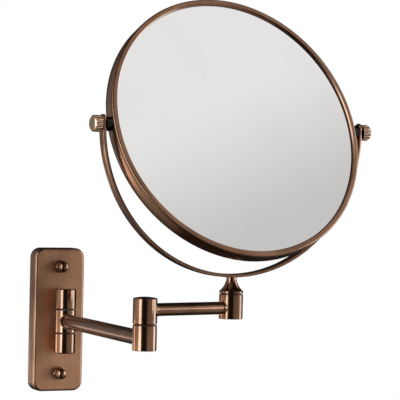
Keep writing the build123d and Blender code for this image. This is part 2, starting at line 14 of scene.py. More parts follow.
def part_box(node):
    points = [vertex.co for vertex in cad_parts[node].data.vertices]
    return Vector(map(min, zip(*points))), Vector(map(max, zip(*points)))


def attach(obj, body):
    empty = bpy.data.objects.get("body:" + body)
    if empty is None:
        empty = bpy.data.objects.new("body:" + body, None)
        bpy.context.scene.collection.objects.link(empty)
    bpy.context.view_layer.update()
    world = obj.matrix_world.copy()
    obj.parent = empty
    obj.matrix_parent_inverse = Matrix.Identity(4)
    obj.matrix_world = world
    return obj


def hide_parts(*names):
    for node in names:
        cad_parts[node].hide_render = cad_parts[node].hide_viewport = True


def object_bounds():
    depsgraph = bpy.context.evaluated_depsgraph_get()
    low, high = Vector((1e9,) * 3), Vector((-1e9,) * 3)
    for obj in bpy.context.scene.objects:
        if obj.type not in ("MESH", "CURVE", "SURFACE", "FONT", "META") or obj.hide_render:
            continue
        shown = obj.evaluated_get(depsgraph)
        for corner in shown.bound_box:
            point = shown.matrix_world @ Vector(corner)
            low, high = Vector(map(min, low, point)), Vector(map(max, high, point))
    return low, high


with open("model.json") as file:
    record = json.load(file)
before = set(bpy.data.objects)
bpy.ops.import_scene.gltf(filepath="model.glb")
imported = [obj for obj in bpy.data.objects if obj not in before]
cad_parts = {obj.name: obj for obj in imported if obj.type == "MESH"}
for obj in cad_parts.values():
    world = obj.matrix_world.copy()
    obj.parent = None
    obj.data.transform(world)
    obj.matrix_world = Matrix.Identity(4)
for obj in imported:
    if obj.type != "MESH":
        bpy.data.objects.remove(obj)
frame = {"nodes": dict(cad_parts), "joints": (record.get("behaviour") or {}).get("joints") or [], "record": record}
cad_low, cad_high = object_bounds()
print("CAD box in mm", [round(1000 * size) for size in cad_high - cad_low])

# %% [markdown]
# ## Where the axes are
# Every round piece turns about one of a few axes, and the joints already hold them. The mirror's own
# axis isn't a joint, so it comes from the front glass: the middle of that disc lies straight in
# front of the drum's centre. Reading them from the model means that nothing here has to be fitted.

# %% Read the axes
mm = 0.001
up = Vector((0, 0, 1))
joint_place = {joint["name"]: Vector(joint["pos_m"]) for joint in frame["joints"]}
joint_axis = {joint["name"]: Vector(joint["axis"]) for joint in frame["joints"]}
wall_axis = joint_place["wall_swivel"]
elbow_axis = joint_place["elbow_swivel"]
head_axis = joint_place["head_swivel"]
mirror_centre = joint_place["mirror_tilt"]
pivot_direction = joint_axis["mirror_tilt"].normalized()
glass_low, glass_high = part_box("front_glass")
mirror_axis = ((Vector(glass_low) + Vector(glass_high)) / 2 - mirror_centre).normalized()
yoke_axis = up.cross(pivot_direction) * -1
first_direction = (elbow_axis - wall_axis).normalized()
second_direction = (head_axis - elbow_axis).normalized()
print("mirror leans back", round(degrees(asin(mirror_axis.z)), 1), "degrees")

# %% [markdown]
# ## The camera
# A long lens from well back keeps the two arms and the round drum in their true proportions. It
# stands to the left of the wall plate, almost level with the mirror's lower half. The camera is set
# by a heading, a slight dip and a slight roll, as a photographer's tripod head is.

# %% Set up the camera
camera_place = Vector((-603.1, -1595.8, 120.5)) * mm
camera_heading = radians(24.675)
camera_dip = radians(0.682)
camera_roll = radians(1.301)

camera_data = bpy.data.cameras.new("long_lens")
camera_data.sensor_width = 36.0
camera_data.lens = 186.3
camera = bpy.data.objects.new("camera", camera_data)
bpy.context.collection.objects.link(camera)
camera.location = camera_place
camera.rotation_euler = (
    Matrix.Rotation(-camera_heading, 3, "Z")
    @ Matrix.Rotation(pi / 2 - camera_dip, 3, "X")
    @ Matrix.Rotation(camera_roll, 3, "Z")
).to_euler()
bpy.context.scene.camera = camera
print("camera to mirror", round((camera_place - mirror_centre).length, 2), "m")

# %% [markdown]
# ## Shader sums
# A finish is a few lines of arithmetic on the place of a point. Drawing that arithmetic as nodes by
# hand is slow, so one small class wraps a node's output. Adding or multiplying two of them makes the
# Math node, and every other kind of node comes from its one method.


# %% Wrap a socket
class Wire:
    """An output in a node tree that can be used in sums."""

    def __init__(self, tree, socket=None):
        self.tree = tree
        self.socket = socket

    def node(self, kind, settings, inputs, output=0):
        """Adds a node: its settings first, then the values or wires of its inputs."""
        made = self.tree.nodes.new(kind)
        for name, value in settings.items():
            setattr(made, name, value)
        for name, value in inputs.items():
            if isinstance(value, Wire):
                self.tree.links.new(value.socket, made.inputs[name])
            else:
                made.inputs[name].default_value = value
        return Wire(self.tree, made.outputs[output] if made.outputs else None)

    def other(self, output):
        """Another output of the node that this wire comes from."""
        return Wire(self.tree, self.socket.node.outputs[output])

    def maths(self, operation, first, second=0.0):
        """One Math node on wires or numbers."""
        return self.node("ShaderNodeMath", {"operation": operation}, {0: first, 1: second})

    def __add__(self, other):
        return self.maths("ADD", self, other)

    def __radd__(self, other):
        return self.maths("ADD", other, self)

    def __sub__(self, other):
        return self.maths("SUBTRACT", self, other)

    def __rsub__(self, other):
        return self.maths("SUBTRACT", other, self)

    def __mul__(self, other):
        return self.maths("MULTIPLY", self, other)

    def __rmul__(self, other):
        return self.maths("MULTIPLY", other, self)

    def step(self, low, high):
        """0 below low, 1 above high, and a smooth rise between."""
        return self.node(
            "ShaderNodeMapRange",
            {"interpolation_type": "SMOOTHSTEP"},
            {"Value": self, "From Min": low, "From Max": high},
        )

    def blend(self, first, second):
        """A colour that goes from first to second as this wire goes from 0 to 1."""
        return self.node(
            "ShaderNodeMix", {"data_type": "RGBA"}, {0: self, 6: first, 7: second}, output=2
        )


print("sums become nodes")

# %% [markdown]
# ## Studio light
# Polished barrels are small round mirrors: what they show is the studio. Here a dark tent has a pale
# wall on its right, brighter towards the top, where it fills the glass, and a dimmer one on its left.
# A picture of a studio would do this too, but a painted one has to be stored somewhere. The tent is
# the world's colour, worked out from the direction that a ray leaves in: how far right, how far
# towards the camera and how high it points.

# %% Paint the tent
camera_right = Vector((cos(camera_heading), -sin(camera_heading), 0))
camera_back = Vector((-sin(camera_heading), -cos(camera_heading), 0))

world = bpy.data.worlds.new("tent")
bpy.context.scene.world = world
world.use_nodes = True
world.node_tree.nodes.clear()
sky = Wire(world.node_tree)
ray = sky.node("ShaderNodeTexCoord", {}, {}, output="Generated")


def reach(direction):
    """How far the ray points along a direction."""
    return sky.node(
        "ShaderNodeVectorMath",
        {"operation": "DOT_PRODUCT"},
        {0: ray, 1: direction},
        output="Value",
    )


darkness = 0.03
right_foot = 0.42
right_rise = 0.14
right_top = 0.24
left_back = 0.30
left_front = 0.77

right = reach(camera_right)
towards = reach(camera_back)
high = reach(up)
pale_wall = right_foot + right_rise * high.step(0.1, 0.55) + right_top * high.step(0.578, 0.640)
right_side = right.step(0.25, 0.62) * towards.step(-0.3, 0.15) * pale_wall
dim_wall = left_back + left_front * towards.step(-0.6, 0.75)
left_side = (0.0 - right).step(0.3, 0.8) * dim_wall
tent_level = darkness + right_side + left_side
print("tent painted")

# %% [markdown]
# The backdrop itself is plain white to the camera. A Light Path node tells camera rays from all
# others, so the metal still mirrors the tent.

# %% Put the tent round the white backdrop
seen = sky.node("ShaderNodeLightPath", {}, {}, output="Is Camera Ray")
tent_light = sky.node("ShaderNodeBackground", {}, {"Color": tent_level})
backdrop = sky.node("ShaderNodeBackground", {}, {"Color": (1, 1, 1, 1), "Strength": 1.0})
shown = sky.node("ShaderNodeMixShader", {}, {0: seen, 1: tent_light, 2: backdrop})
sky.node("ShaderNodeOutputWorld", {}, {"Surface": shown})
bpy.context.scene.view_settings.view_transform = "Standard"
print("backdrop is white")

# %% [markdown]
# The five soft boxes are area lights. Each hangs at a compass bearing from the camera's own
# direction, faces the object, and is as wide and tall as the stripe that it leaves on a barrel. The
# two tall strips are cool, and the two low ones behind are warm, which keeps the copper's shadows
# red. Brightness is what a mirror would show, so a lamp's power is that times pi times its area.

# %% Hang the soft boxes
studio_centre = Vector((0.02, -0.16, 0.06))
box_distance = 1.5


def soft_box(name, bearing, height, half_width, half_height, brightness, tint):
    """An area light. Its bearing, right of the camera, height and half sizes are in degrees."""
    turn = radians(bearing)
    lift = radians(height)
    level = camera_back * cos(turn) + camera_right * sin(turn)
    direction = level * cos(lift) + up * sin(lift)
    lamp = bpy.data.lights.new(name, "AREA")
    lamp.shape = "RECTANGLE"
    lamp.size = 2 * box_distance * sin(radians(half_width))
    lamp.size_y = 2 * box_distance * sin(radians(half_height))
    lamp.energy = brightness * pi * lamp.size * lamp.size_y
    lamp.color = tint
    hung = bpy.data.objects.new(name, lamp)
    bpy.context.collection.objects.link(hung)
    hung.location = studio_centre + direction * box_distance
    hung.rotation_euler = direction.to_track_quat("Z", "Y").to_euler()
    hung.visible_camera = False
    print(name, round(lamp.energy, 1), "W")


cool = (1.0, 1.28, 1.55)
mild = (1.0, 1.1, 1.25)
warm = (1.0, 0.86, 0.72)
soft_box("left_strip", -42, 6, 11, 38, 3.3, cool)
soft_box("right_strip", 106, 6, 14, 34, 2.8, cool)
soft_box("side_card", 80, 4.6, 10.5, 7, 3.6, mild)
soft_box("low_sheet", -106, -17, 9, 12, 2.7, warm)
soft_box("rear_card", -143, -11, 8, 4, 1.3, warm)

# %% [markdown]
# ## The floor
# The mirror hangs on a wall, so the floor is well below it: a broad pale sheet. It is part of the
# stage and not of the object. Polished metal isn't shown the floor, or every underside would glow.

# %% Lay the floor
floor_drop = 0.55
floor_radius = 4.0
floor_glow = 0.45
bpy.ops.object.select_all(action="DESELECT")
bpy.ops.mesh.primitive_circle_add(
    vertices=96, radius=floor_radius, fill_type="NGON", location=(0, 0, cad_low.z - floor_drop)
)
floor = bpy.context.object
floor.name = "floor"
floor.visible_glossy = False
floor_paint = bpy.data.materials.new("pale_floor")
floor_paint.use_nodes = True
floor_shader = floor_paint.node_tree.nodes["Principled BSDF"]
floor_shader.inputs["Base Color"].default_value = (0.9, 0.9, 0.9, 1)
floor_shader.inputs["Roughness"].default_value = 0.8
floor_shader.inputs["Emission Color"].default_value = (1, 1, 1, 1)
floor_shader.inputs["Emission Strength"].default_value = floor_glow
floor.data.materials.append(floor_paint)
print("floor", round(floor_drop, 2), "m below the plate")

# %% [markdown]
# ## Antique copper
# The finish is copper plate, darkened, brushed back and lacquered. Three things make it read as
# that: a brown that wanders slowly between darker and redder, fine brush lines that stretch every
# reflection across them, and a clear coat that puts a whiter glint on the highlights.
#
# Brush lines follow the way a piece was worked. A turned barrel was polished in the lathe, so its
# lines run round it. A tube and the plate were drawn past a belt, so theirs run along. Both come from
# one noise that is stretched in the piece's own axes, which a Mapping node finds.
#
# Every finish here starts alike, with an empty tree that reads a point's place in the object, and
# ends alike, with one surface. So a few helpers come first.


# %% Start and end a finish
def new_finish(name):
    """An empty material, and the wire that holds a point's place."""
    finish = bpy.data.materials.new(name)
    finish.use_nodes = True
    finish.node_tree.nodes.clear()
    return finish, Wire(finish.node_tree).node("ShaderNodeTexCoord", {}, {}, output="Object")


def surfaced(paint, inputs):
    """Ends a finish with a surface that has these inputs."""
    surface = paint.node("ShaderNodeBsdfPrincipled", {}, inputs)
    paint.node("ShaderNodeOutputMaterial", {}, {"Surface": surface})


def noise(vector, scale, detail=2.0):
    """A cloudy value between 0 and 1."""
    inputs = {"Vector": vector, "Scale": scale, "Detail": detail}
    return vector.node("ShaderNodeTexNoise", {}, inputs, output="Fac")


def relief(height, depth):
    """A bump from a height between 0 and 1, as deep as a number of mm."""
    inputs = {"Strength": 1.0, "Distance": depth * mm, "Height": height}
    return height.node("ShaderNodeBump", {}, inputs)


print("finishes can be started")

# %% Make a copper finish
copper_dark = (0.180, 0.084, 0.044, 1)
copper_warm = (0.405, 0.212, 0.122, 1)
line_count = 2600
round_stretch = 22.0
along_stretch = 45.0
face_spread = 1.3
lacquer = 0.2
lacquer_gloss = 0.12


def brush_lines(own, lines):
    """The place, in the piece's own axes, stretched so that noise draws lines round or along."""
    across = own.node("ShaderNodeSeparateXYZ", {}, {"Vector": own}, output="X")
    over = across.other("Y")
    along = across.other("Z")
    if lines == "round":
        radius = own.maths("SQRT", across * across + over * over)
        stretched = {
            "X": across * round_stretch,
            "Y": over * round_stretch,
            "Z": (along + face_spread * radius) * line_count,
        }
    else:
        stretched = {
            "X": across * line_count,
            "Y": over * line_count,
            "Z": along * along_stretch,
        }
    return own.node("ShaderNodeCombineXYZ", {}, stretched)


def copper(name, origin, axis, lines, gloss, line_depth, tones=(copper_dark, copper_warm)):
    """Antique copper with brush lines round an axis or along it."""
    finish, place = new_finish(name)
    turn = up.rotation_difference(axis).to_euler()
    own = place.node(
        "ShaderNodeMapping",
        {"vector_type": "TEXTURE"},
        {"Vector": place, "Location": origin, "Rotation": turn},
    )
    brushed = noise(brush_lines(own, lines), 1.0, 3.0)
    wander = noise(own, 38.0, 4.0)
    tone = 0.7 * wander.step(0.25, 0.8) + 0.35 * brushed.step(0.3, 0.75)
    surfaced(
        own,
        {
            "Base Color": tone.blend(*tones),
            "Roughness": gloss * (0.82 + 0.24 * brushed + 0.12 * wander),
            "Normal": relief(brushed, line_depth),
            "Metallic": 1.0,
            "Coat Weight": lacquer,
            "Coat Roughness": lacquer_gloss,
        },
    )
    return finish


print("copper is ready to be laid on")

# %% [markdown]
# Each family of pieces gets its own copper, centred on its own axis. The plate's face is satin, and
# its copper is made paler as painted light, while its sides keep the dark tone as painted shade. The
# barrels are polished until they show bands, the tubes lie between, and the drum is brushed round its
# rim. The knobs get a paler copper, a painted highlight for the glint on their turned ends.

# %% Lay out the copper finishes
# Paler copper for the plate's face: painted light, standing in for light that the face catches.
satin_painted_light = ((0.42, 0.205, 0.108, 1), (0.70, 0.355, 0.195, 1))
plate_face_painted_light = copper("plate_face_painted_light", wall_axis, up, "along", 0.455, 0.0006, satin_painted_light)
# The plate's sides keep the darker copper, as painted shade beside the paler face.
plate_side_painted_shade = copper("plate_side_painted_shade", wall_axis, up, "along", 0.26, 0.0004)
hinge_copper = copper("hinge_copper", wall_axis, up, "round", 0.125, 0.0002)
elbow_copper = copper("elbow_copper", elbow_axis, up, "round", 0.125, 0.0002)
head_copper = copper("head_copper", head_axis, up, "round", 0.125, 0.0002)
first_tube_copper = copper("first_tube_copper", wall_axis, first_direction, "along", 0.265, 0.0004)
second_tube_low, second_tube_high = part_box("second_arm_tube")
second_tube_start = elbow_axis.copy()
second_tube_start.z = (second_tube_low[2] + second_tube_high[2]) / 2
second_tube_copper = copper(
    "second_tube_copper", second_tube_start, second_direction, "along", 0.265, 0.0004
)
yoke_copper = copper("yoke_copper", mirror_centre, yoke_axis, "round", 0.17, 0.0003)
drum_copper = copper("drum_copper", mirror_centre, mirror_axis, "round", 0.30, 0.0003)
lip_copper = copper("lip_copper", mirror_centre, mirror_axis, "round", 0.20, 0.0002)
# Paler copper for the knobs: a painted highlight that stands in for the glint on their turned ends.
knob_painted_highlight_tones = ((0.36, 0.215, 0.13, 1), (0.76, 0.51, 0.34, 1))
knob_copper_painted_highlight = copper(
    "knob_copper_painted_highlight", mirror_centre, pivot_direction, "round", 0.17, 0.0006, knob_painted_highlight_tones
)
rubbed_copper = copper("rubbed_copper", wall_axis, up, "round", 0.15, 0.0002)
print(len(bpy.data.materials), "materials so far")

# %% [markdown]
# ## Modelling helpers
# Most pieces came off a lathe, so most start the same way here: half of the cut-through shape is
# drawn beside the Z axis, one corner after another, and spun round it. Extruding rings from a circle
# would do as well, but a spun section can have bores and undercuts. Sharp rims then get a Bevel
# modifier, whose faces take the second material: that is the copper rubbed bright at every edge.
# Sections are drawn in millimetres, as on a workshop drawing, and become metres as they are spun.


# %% Start clean
def select_nothing():
    """Leaves edit mode and deselects every object."""
    if bpy.context.object and bpy.context.object.mode != "OBJECT":
        bpy.ops.object.mode_set(mode="OBJECT")
    bpy.ops.object.select_all(action="DESELECT")


def take(piece):
    """Makes a piece the only one selected, and active."""
    select_nothing()
    piece.select_set(True)
    bpy.context.view_layer.objects.active = piece
    return piece


print("helpers start")


# %% Spin a section
weld = 0.002 * mm
spare = 1.0


def spun(section, steps=128):
    """Spins a section of (radius, height) points, in mm, round the Z axis."""
    select_nothing()
    bpy.ops.mesh.primitive_plane_add(size=mm, location=(0, 0, 0), enter_editmode=True)
    bpy.ops.mesh.select_mode(type="VERT")
    bpy.ops.mesh.merge(type="CENTER")
    here = Vector((0, 0, 0))
    for number, (radius, height) in enumerate(section):
        there = Vector((radius, 0, height)) * mm
        if number == 0:
            bpy.ops.transform.translate(value=there)
        else:
            bpy.ops.mesh.extrude_region_move(TRANSFORM_OT_translate={"value": there - here})
        here = there
    bpy.ops.mesh.select_all(action="SELECT")
    bpy.ops.mesh.spin(steps=steps, angle=2 * pi, center=(0, 0, 0), axis=(0, 0, 1))
    bpy.ops.mesh.select_all(action="SELECT")
    bpy.ops.mesh.remove_doubles(threshold=weld)
    bpy.ops.mesh.normals_make_consistent(inside=False)
    bpy.ops.object.mode_set(mode="OBJECT")
    return bpy.context.object


def ring(section, steps=128):
    """Spins a section that closes on itself, such as a tube's or a rim's."""
    return spun([*section, section[0]], steps)


print("the lathe turns")

# %% [markdown]
# A piece is made upright at the world's origin, where its numbers are simple, and then carried to its
# own axis. Applying the transform puts the place into the mesh, as it is in the CAD pieces.


# %% Carry, bevel and cut
sharp_angle = 32


def carried(piece, origin, z_axis=up, x_axis=None):
    """Moves a piece made round the world's Z axis to its own origin and axis."""
    if x_axis is None:
        turn = up.rotation_difference(z_axis).to_matrix()
    else:
        turn = Matrix((x_axis, z_axis.cross(x_axis), z_axis)).transposed()
    take(piece)
    piece.matrix_world = Matrix.Translation(origin) @ turn.to_4x4()
    bpy.ops.object.transform_apply(location=True, rotation=True, scale=True)
    return piece


def bevelled(piece, width, segments=3, rubbed=True):
    """Rounds every sharp edge. The new faces take the second material if rubbed is true."""
    take(piece)
    edge = piece.modifiers.new("edge", "BEVEL")
    edge.width = width * mm
    edge.segments = segments
    edge.limit_method = "ANGLE"
    edge.angle_limit = radians(sharp_angle)
    edge.material = 1 if rubbed else -1
    bpy.ops.object.modifier_apply(modifier=edge.name)
    return piece


def combined(piece, tool, operation):
    """Cuts a tool out of a piece, joins it on, or keeps what they share."""
    take(piece)
    boolean = piece.modifiers.new("tool", "BOOLEAN")
    boolean.operation = operation
    boolean.object = tool
    boolean.solver = "EXACT"
    bpy.ops.object.modifier_apply(modifier=boolean.name)
    bpy.data.objects.remove(tool)
    return piece


print("pieces can be carried, bevelled and cut")

# %% [markdown]
# The last helpers paint a finished piece and hand it over, with its name, the body that it moves with
# and the CAD piece that it stands for. Smoothing by angle keeps real corners crisp.


# %% Hand a piece over
smooth_angle = 28


def painted(piece, *finishes):
    """Gives a piece its materials in order."""
    for finish in finishes:
        piece.data.materials.append(finish)
    return piece


def handed_over(piece, name, body):
    """Names a finished piece and ties it to the model."""
    take(piece)
    bpy.ops.object.shade_smooth_by_angle(angle=radians(smooth_angle))
    piece.name = name
    piece.data.name = name
    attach(piece, body)
    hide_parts(name.removesuffix("_skin"))
    print(name, len(piece.data.polygons), "faces")


print("pieces can be handed over")

# %% [markdown]
# ## The wall plate
# The plate is a deep casting with round corners, a soft front edge and a hollow back. It could be
# a rounded outline pushed out, but a plain block is quicker: its four edges that run from front to
# back take a wide bevel, the rim of its front face a smaller one, and its back face is inset and
# pushed in. The face gets the paler copper, which is painted light, and every other side gets the
# darker copper as painted shade.

# %% Shape the wall plate
plate_corner = 8.0 * mm
plate_edge = 2.4 * mm
plate_wall = 2.2 * mm
painted_light_facing = -0.95
plate_low, plate_high = (Vector(corner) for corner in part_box("wall_plate"))
plate_size = plate_high - plate_low
plate_middle = (plate_low + plate_high) / 2


def chosen(piece, wanted, kind="faces"):
    """In edit mode, selects only the faces or edges whose middle and direction pass a test."""
    bpy.ops.object.mode_set(mode="EDIT")
    bpy.ops.mesh.select_mode(type="FACE" if kind == "faces" else "EDGE")
    bpy.ops.mesh.select_all(action="DESELECT")
    bpy.ops.object.mode_set(mode="OBJECT")
    mesh = piece.data
    for part in mesh.polygons if kind == "faces" else mesh.edges:
        if kind == "faces":
            part.select = wanted(part.center, part.normal)
        else:
            ends = [mesh.vertices[corner].co for corner in part.vertices]
            part.select = wanted((ends[0] + ends[1]) / 2, (ends[1] - ends[0]).normalized())
    bpy.ops.object.mode_set(mode="EDIT")


select_nothing()
bpy.ops.mesh.primitive_cube_add(size=1, location=plate_middle, scale=plate_size)
plate = bpy.context.object
bpy.ops.object.transform_apply(location=True, rotation=True, scale=True)
chosen(plate, lambda middle, way: abs(way.y) > 0.9, "edges")
bpy.ops.mesh.bevel(offset=plate_corner, segments=16, affect="EDGES")
chosen(plate, lambda middle, way: way.y < -0.9)
bpy.ops.mesh.region_to_loop()
bpy.ops.mesh.bevel(offset=plate_edge, segments=10, affect="EDGES")
chosen(plate, lambda middle, way: way.y > 0.9)
bpy.ops.mesh.inset(thickness=plate_wall)
bpy.ops.mesh.extrude_region_move(TRANSFORM_OT_translate={"value": (0, plate_low.y + plate_wall, 0)})
bpy.ops.object.mode_set(mode="OBJECT")
painted(plate, plate_face_painted_light, plate_side_painted_shade)
# Faces that look forward get the paler copper as painted light, and the sides get painted shade.
for face in plate.data.polygons:
    face.material_index = 0 if face.normal.y < painted_light_facing else 1
handed_over(plate, "wall_plate_skin", "wall_mount")

# %% [markdown]
# ## The cap nuts
# Two nuts hold the plate on its studs: a hexagon with its corners turned off, a neck and a dome.
# The hexagon is a six-sided cylinder, kept only where a wide cone also reaches, which leaves the
# curved chamfer that a real nut has. The neck and dome are one spun outline, joined on.

# %% Turn a nut
nut_flats = 9.8
nut_body = 5.2
nut_face = 4.8
nut_slope = 1.7
nut_neck = 2.2
nut_ball = 4.5
nut_spacing = 87.0


def arc(centre_radius, centre_height, size, start, end, count):
    """Points of an arc in a section, from one angle to another, in degrees from level."""
    angles = [radians(start + (end - start) * number / count) for number in range(count + 1)]
    return [(centre_radius + size * cos(a), centre_height + size * sin(a)) for a in angles]


def cap_nut():
    """A domed nut that stands on the XY plane."""
    select_nothing()
    bpy.ops.mesh.primitive_cylinder_add(
        vertices=6,
        radius=nut_flats / 2 / cos(radians(30)) * mm,
        depth=nut_body * mm,
        location=(0, 0, nut_body / 2 * mm),
    )
    hexagon = bpy.context.object
    bpy.ops.object.transform_apply(location=True, rotation=True, scale=True)
    cone_foot = nut_face + nut_slope * (nut_body + spare)
    cone = spun([(0, -spare), (cone_foot, -spare), (nut_face, nut_body), (0, nut_body)], 96)
    combined(hexagon, cone, "INTERSECT")
    dome = arc(0, nut_body + nut_neck, nut_ball, 0, 90, 20)
    ball = spun([(0, nut_body - spare), (nut_ball, nut_body - spare), *dome], 64)
    return combined(hexagon, ball, "UNION")


nut_pair = []
for side in (1, -1):
    nut = cap_nut()
    seat = Vector((0, plate_low.y, side * nut_spacing / 2 * mm))
    nut_pair.append(carried(nut, seat, Vector((0, -1, 0)), up))
take(nut_pair[0])
nut_pair[1].select_set(True)
bpy.ops.object.join()
nuts = painted(bevelled(nut_pair[0], 0.12, 2, rubbed=False), hinge_copper, rubbed_copper)
handed_over(nuts, "cap_nuts_skin", "wall_mount")

# %% [markdown]
# ## The wall hinge
# Three barrels share one pin. The outer two are fixed: each has a web that stands on the plate and
# is brazed into the barrel. The middle one carries the first arm. All are bored, so their sections
# are closed loops. A dark seam shows between them, where a black nylon washer keeps them apart.

# %% Turn the hinge barrels
hinge_radius = 8.5
hinge_height = 52.4
hinge_middle = 19.4
seam = 0.9
pin_radius = 2.5
web_width = 7.0
web_depth = 3.0
web_short = 0.2
pin_cap = 4.0
hinge_bush = 3.75
rim = 0.35
end_round = 1.2
fixed_low = (hinge_middle + seam) / 2
fixed_high = hinge_height / 2


def web(low, high):
    """The block between a fixed barrel and the plate."""
    near = wall_axis.y + (hinge_radius - web_depth) * mm
    select_nothing()
    bpy.ops.mesh.primitive_cube_add(
        size=1,
        location=(0, (near + plate_low.y) / 2, (low + high) / 2 * mm),
        scale=(web_width * mm, plate_low.y - near, (high - low) * mm),
    )
    block = bpy.context.object
    bpy.ops.object.transform_apply(location=True, rotation=True, scale=True)
    return bevelled(block, 0.3, 2, rubbed=False)


def fixed_barrel(side):
    """The upper barrel for side 1, the lower one for side -1."""
    corner = arc(hinge_radius - end_round, fixed_high - end_round, end_round, 0, 90, 8)
    outline = [
        (pin_radius, fixed_low),
        (hinge_radius - rim, fixed_low),
        (hinge_radius, fixed_low + rim),
        *corner,
        (0 if side > 0 else pin_radius, fixed_high),
    ]
    if side > 0:
        outline += [(0, fixed_high - pin_cap), (pin_radius, fixed_high - pin_cap)]
    barrel = ring([(radius, side * height) for radius, height in outline])
    carried(barrel, wall_axis)
    web_ends = sorted((side * fixed_low, side * (fixed_high - web_short)))
    barrel = combined(barrel, web(*web_ends), "UNION")
    return painted(barrel, hinge_copper, rubbed_copper)


handed_over(fixed_barrel(1), "upper_knuckle_skin", "wall_mount")
handed_over(fixed_barrel(-1), "lower_knuckle_skin", "wall_mount")


# %% Turn the middle barrel
def barrel_section(low, high, radius, bore):
    """A bored barrel with bevelled rims, in mm."""
    return [
        (bore, low),
        (radius - rim, low),
        (radius, low + rim),
        (radius, high - rim),
        (radius - rim, high),
        (bore, high),
    ]


middle_half = (hinge_middle - seam) / 2
middle_barrel = ring(barrel_section(-middle_half, middle_half, hinge_radius, hinge_bush))
painted(carried(middle_barrel, wall_axis), hinge_copper, rubbed_copper)
handed_over(middle_barrel, "arm_knuckle_skin", "first_arm")

# %% [markdown]
# ## The arm tubes
# Both arms are drawn tube, mitred into their barrels. A cylinder with no ends gets its wall from a
# Solidify modifier; its ends lie inside the barrels, as they do on the real arm.

# %% Draw the tubes
barrel_radius = 9.0
first_tube_radius = 5.8
second_tube_radius = 4.8
tube_wall = 1.1
hinge_tube_start = 4.6
elbow_tube_end = 5.3
elbow_tube_start = 4.6
socket_tube_end = 5.9
second_arm_height = 21.3


def tube(start, end, radius, first_gap, last_gap):
    """A tube between two axes, which starts and stops inside their barrels."""
    way = (end - start).normalized()
    length = (end - start).length - (first_gap + last_gap) * mm
    select_nothing()
    bpy.ops.mesh.primitive_cylinder_add(
        vertices=128,
        radius=radius * mm,
        depth=length,
        end_fill_type="NOTHING",
        location=(0, 0, length / 2),
    )
    pipe = bpy.context.object
    bpy.ops.object.transform_apply(location=True, rotation=True, scale=True)
    wall = pipe.modifiers.new("wall", "SOLIDIFY")
    wall.thickness = tube_wall * mm
    wall.offset = -1
    bpy.ops.object.modifier_apply(modifier=wall.name)
    return carried(pipe, start + way * first_gap * mm, way)


first_tube = tube(wall_axis, elbow_axis, first_tube_radius, hinge_tube_start, elbow_tube_end)
painted(first_tube, first_tube_copper)
handed_over(first_tube, "first_arm_tube_skin", "first_arm")
second_height = up * second_arm_height * mm
second_tube = tube(
    elbow_axis + second_height,
    head_axis + second_height,
    second_tube_radius,
    elbow_tube_start,
    socket_tube_end,
)
painted(second_tube, second_tube_copper)
handed_over(second_tube, "second_arm_tube_skin", "second_arm")

# %% [markdown]
# ## The elbow and the end socket
# The elbow is two barrels, one on each arm, with a shouldered screw up the middle. The lower one is
# bored for a bush, with a wider chamber below that a disc closes. The upper one has a blind hole
# and a crowned top, which is a slice of a large ball. The socket at the arm's end is bored likewise.

# %% Turn the elbow
elbow_bottom = -8.5
elbow_seam = 10.65
elbow_base_top = elbow_seam - seam / 2
elbow_top_start = elbow_seam + seam / 2
elbow_side_top = 29.9
elbow_crown = 1.1
elbow_round = 0.6
plug_radius = 6.5
plug_thickness = 1.2
chamber_radius = 4.9
chamber_top = -3.0
elbow_bush = 4.2
screw_radius = 3.0
screw_top = 24.0

elbow_lower = ring(
    [
        (plug_radius, elbow_bottom),
        (barrel_radius - rim, elbow_bottom),
        (barrel_radius, elbow_bottom + rim),
        (barrel_radius, elbow_base_top - rim),
        (barrel_radius - rim, elbow_base_top),
        (elbow_bush, elbow_base_top),
        (elbow_bush, chamber_top),
        (chamber_radius, chamber_top),
        (chamber_radius, elbow_bottom + plug_thickness),
        (plug_radius, elbow_bottom + plug_thickness),
    ]
)
painted(carried(elbow_lower, elbow_axis), elbow_copper, rubbed_copper)
handed_over(elbow_lower, "elbow_base_skin", "first_arm")

# %% Turn the crowned top
crown_radius = (barrel_radius**2 + elbow_crown**2) / (2 * elbow_crown)
crown_centre = elbow_side_top + elbow_crown - crown_radius
crown_edge = degrees(asin((barrel_radius - elbow_round) / crown_radius))
elbow_upper = spun(
    [
        (0, screw_top),
        (screw_radius, screw_top),
        (screw_radius, elbow_top_start),
        (barrel_radius - rim, elbow_top_start),
        (barrel_radius, elbow_top_start + rim),
        *arc(barrel_radius - elbow_round, elbow_side_top - elbow_round, elbow_round, 0, 78, 6),
        *arc(0, crown_centre, crown_radius, 90 - crown_edge, 90, 12),
    ]
)
painted(carried(elbow_upper, elbow_axis), elbow_copper, rubbed_copper)
handed_over(elbow_upper, "elbow_top_skin", "second_arm")

# %% Turn the end socket
socket_bottom = 13.0
socket_top = 31.6
socket_bush = 5.0
socket_chamber = 5.4
socket_shoulder = 17.5

socket = ring(
    [
        (plug_radius, socket_bottom),
        (barrel_radius - rim, socket_bottom),
        (barrel_radius, socket_bottom + rim),
        (barrel_radius, socket_top - rim),
        (barrel_radius - rim, socket_top),
        (socket_bush, socket_top),
        (socket_bush, socket_shoulder),
        (socket_chamber, socket_shoulder),
        (socket_chamber, socket_bottom + plug_thickness),
        (plug_radius, socket_bottom + plug_thickness),
    ]
)
painted(carried(socket, head_axis), head_copper, rubbed_copper)
handed_over(socket, "end_socket_skin", "second_arm")

# %% [markdown]
# ## The stem
# One turning carries the whole head. Its spigot turns in the socket, its collar rests on the rim, and
# above that it sweeps in through a hollow flare to a slim neck under the yoke. The flare is an arc
# through three points, found from their circle's centre.


